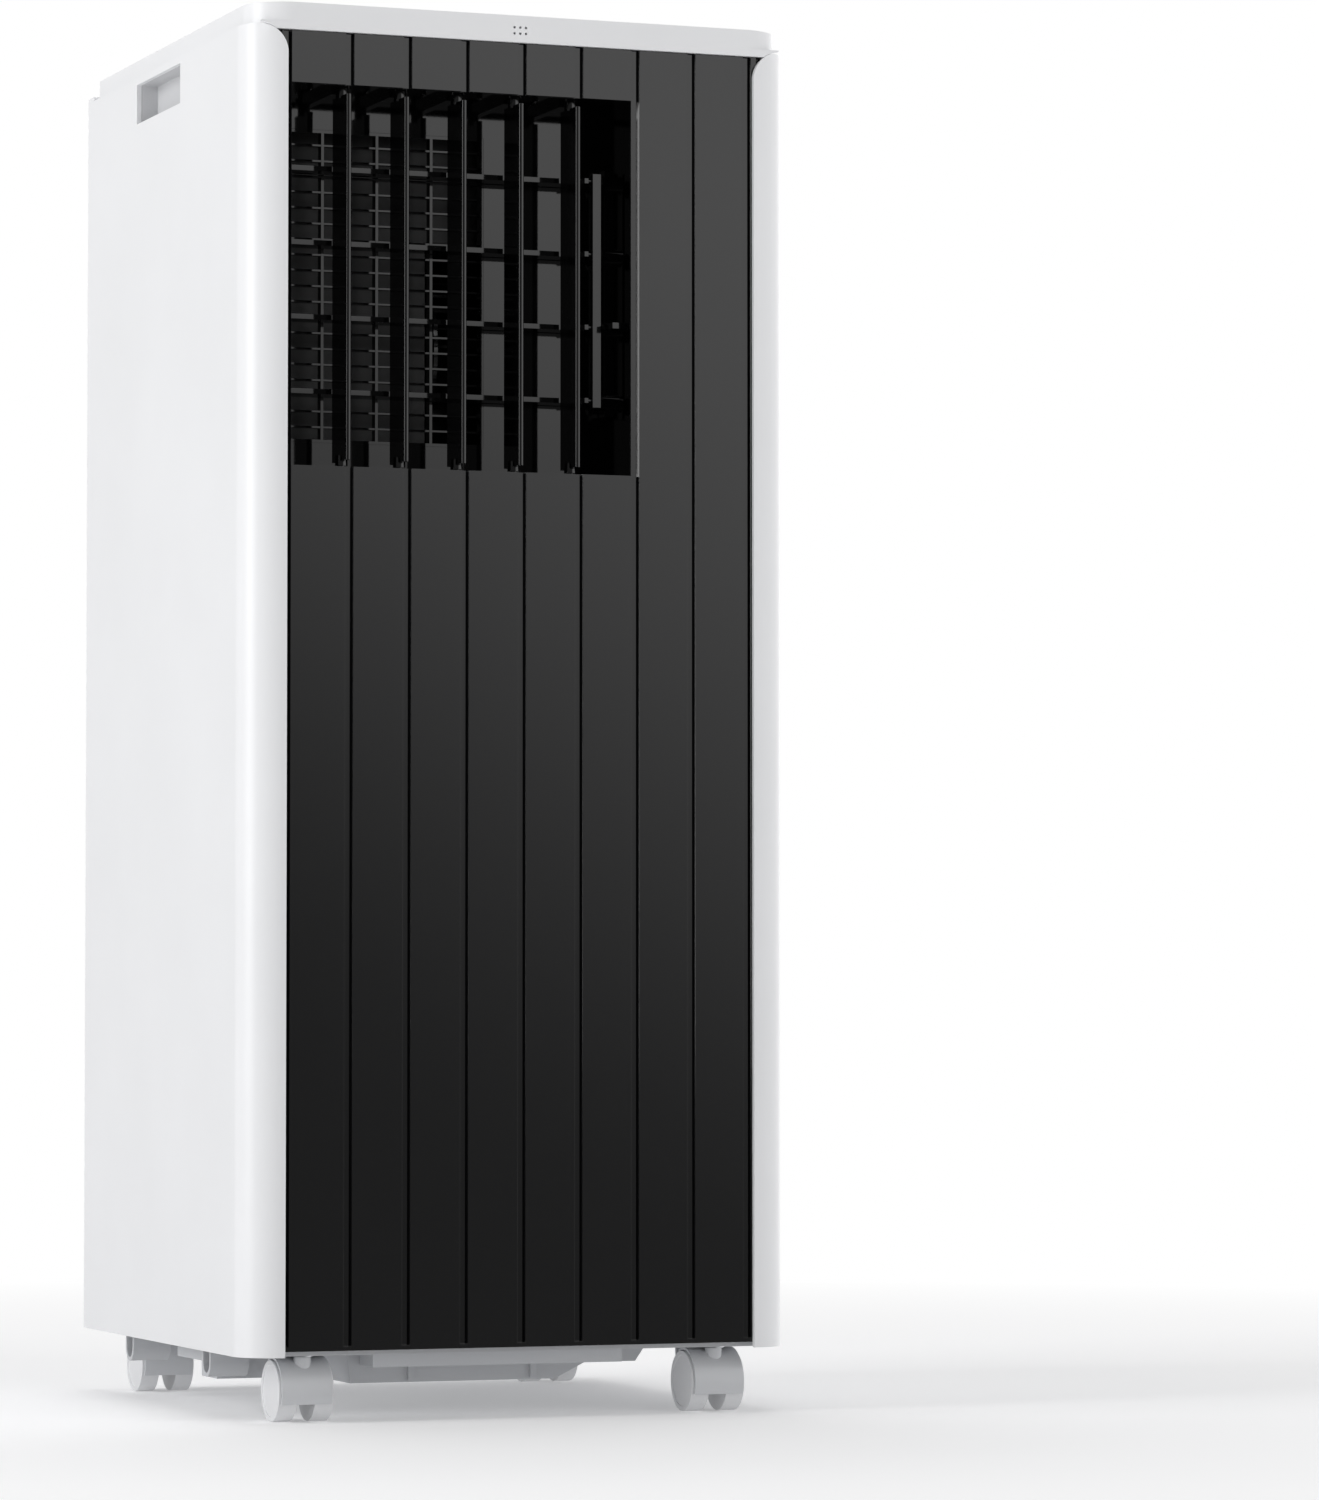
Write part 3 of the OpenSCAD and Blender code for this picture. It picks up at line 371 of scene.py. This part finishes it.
def bar_stroke(bm, start, end, line, z0, z1):
    """Straight stroke between two points in X and Y."""
    a, b = Vector((*start, 0)), Vector((*end, 0))
    side = (b - a).normalized().cross(Vector((0, 0, 1))) * line / 2
    add_prism(bm, [(p.x, p.y) for p in (a - side, b - side, b + side, a + side)], z0, z1)


def button_icons():
    """A plain raised icon on each push button."""
    line = 0.55 * MM                # width of a stroke
    sunk, proud = 0.05 * MM, 0.09 * MM

    def middle_of(node):
        lo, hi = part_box(node)
        return (lo.x + hi.x) / 2, (lo.y + hi.y) / 2, hi.z

    def icon(name, draw):
        x, y, top = middle_of("button_" + name)
        bm = bmesh.new()
        draw(bm, (x, y), top - sunk, top + proud)
        piece("icon_" + name, bm, "button_" + name, "gloss_black")

    def power(bm, c, z0, z1):
        ring_stroke(bm, c, 2.4 * MM, line, 125, 415, z0, z1)
        bar_stroke(bm, (c[0], c[1] + 0.6 * MM), (c[0], c[1] + 3 * MM), line, z0, z1)

    def mode(bm, c, z0, z1):
        ring_stroke(bm, c, 1.3 * MM, line, 0, 359, z0, z1)
        for k in range(8):
            turn = math.radians(45 * k)
            ray = Vector((math.cos(turn), math.sin(turn)))
            near, far = Vector(c) + ray * 1.9 * MM, Vector(c) + ray * 2.8 * MM
            bar_stroke(bm, near, far, line, z0, z1)

    def arrow(sign):
        def draw(bm, c, z0, z1):
            tip = (c[0], c[1] + sign * 1.9 * MM)
            base = c[1] - sign * 1.4 * MM
            add_prism(bm, [(c[0] - 2.3 * MM, base), (c[0] + 2.3 * MM, base), tip], z0, z1)
        return draw

    def fan(bm, c, z0, z1):
        for k in range(3):
            turn = 120 * k + 90
            hub = arc(c, 0.5 * MM, turn + 40, turn - 40, 4)
            tip = arc(c, 2.6 * MM, turn - 12, turn + 48, 8)
            add_prism(bm, hub + tip, z0, z1)

    def timer(bm, c, z0, z1):
        ring_stroke(bm, c, 2.5 * MM, line, 0, 359, z0, z1)
        bar_stroke(bm, c, (c[0], c[1] + 1.7 * MM), line, z0, z1)
        bar_stroke(bm, c, (c[0] + 1.2 * MM, c[1]), line, z0, z1)

    for name, draw in (("power", power), ("mode", mode), ("up", arrow(1)), ("down", arrow(-1)),
                       ("fan", fan), ("timer", timer)):
        icon(name, draw)


def display_digits():
    """Two lit seven-bar digits on the display's front."""
    lo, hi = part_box("display_window")
    top = hi.z
    tall, wide, line, spread = 9 * MM, 5 * MM, 0.9 * MM, 4.2 * MM
    # A digit's bars, with their ends in half widths and quarter heights from its middle.
    ends = {"a": ((-1, 2), (1, 2)), "b": ((1, 2), (1, 0)), "c": ((1, 0), (1, -2)),
            "d": ((-1, -2), (1, -2)), "e": ((-1, -2), (-1, 0)), "f": ((-1, 0), (-1, 2)),
            "g": ((-1, 0), (1, 0))}
    lit = {"2": "abged", "4": "fgbc"}
    bm = bmesh.new()
    for place, digit in ((-spread, "2"), (spread, "4")):
        x = (lo.x + hi.x) / 2 + place
        y = (lo.y + hi.y) / 2
        for bar in lit[digit]:
            (x0, y0), (x1, y1) = ends[bar]
            start = Vector((x + x0 * wide / 2, y + y0 * tall / 4))
            end = Vector((x + x1 * wide / 2, y + y1 * tall / 4))
            gap = (end - start).normalized() * 0.5 * MM
            bar_stroke(bm, start + gap, end - gap, line, top - 0.1 * MM, top + 0.04 * MM)
    piece("display_digits", bm, "root", "display", "digit_light")


def filter_mesh():
    """Fine net across the cells of the air filter."""
    lo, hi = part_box("air_filter")
    pitch, thread = 3.0 * MM, 0.45 * MM
    side_rim, end_rim = 4 * MM, 3 * MM
    y = (lo.y + hi.y) / 2
    bm = bmesh.new()
    for i in range(1, int((hi.z - lo.z) / pitch)):
        z = lo.z + i * pitch
        add_box(bm, (lo.x + side_rim, y - thread / 2, z - thread / 2),
                (hi.x - side_rim, y + thread / 2, z + thread / 2))
    for i in range(1, int((hi.x - lo.x) / pitch)):
        x = lo.x + i * pitch
        add_box(bm, (x - thread / 2, y - thread / 2, lo.z + end_rim),
                (x + thread / 2, y + thread / 2, hi.z - end_rim))
    piece("filter_net", bm, "intake_cover", "filter_plastic")


def dense_fins(node, pitch):
    """Thin fins between the end plates of a coil."""
    lo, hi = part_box(node)
    inset, edge, thick = 17 * MM, 1.2 * MM, 0.22 * MM
    bm = bmesh.new()
    for i in range(int((hi.x - lo.x - 2 * inset) / pitch)):
        x = lo.x + inset + i * pitch
        add_box(bm, (x, lo.y + edge, lo.z + edge), (x + thick, hi.y - edge, hi.z - edge))
    piece(node + "_fins", bm, "root", "fins")


make_camera()
make_world()
make_floor()
make_lamps()
MATERIALS = make_materials()
finish_cad(MATERIALS)
button_icons()
display_digits()
filter_mesh()
dense_fins("evaporator", 1.6 * MM)
dense_fins("condenser", 1.8 * MM)
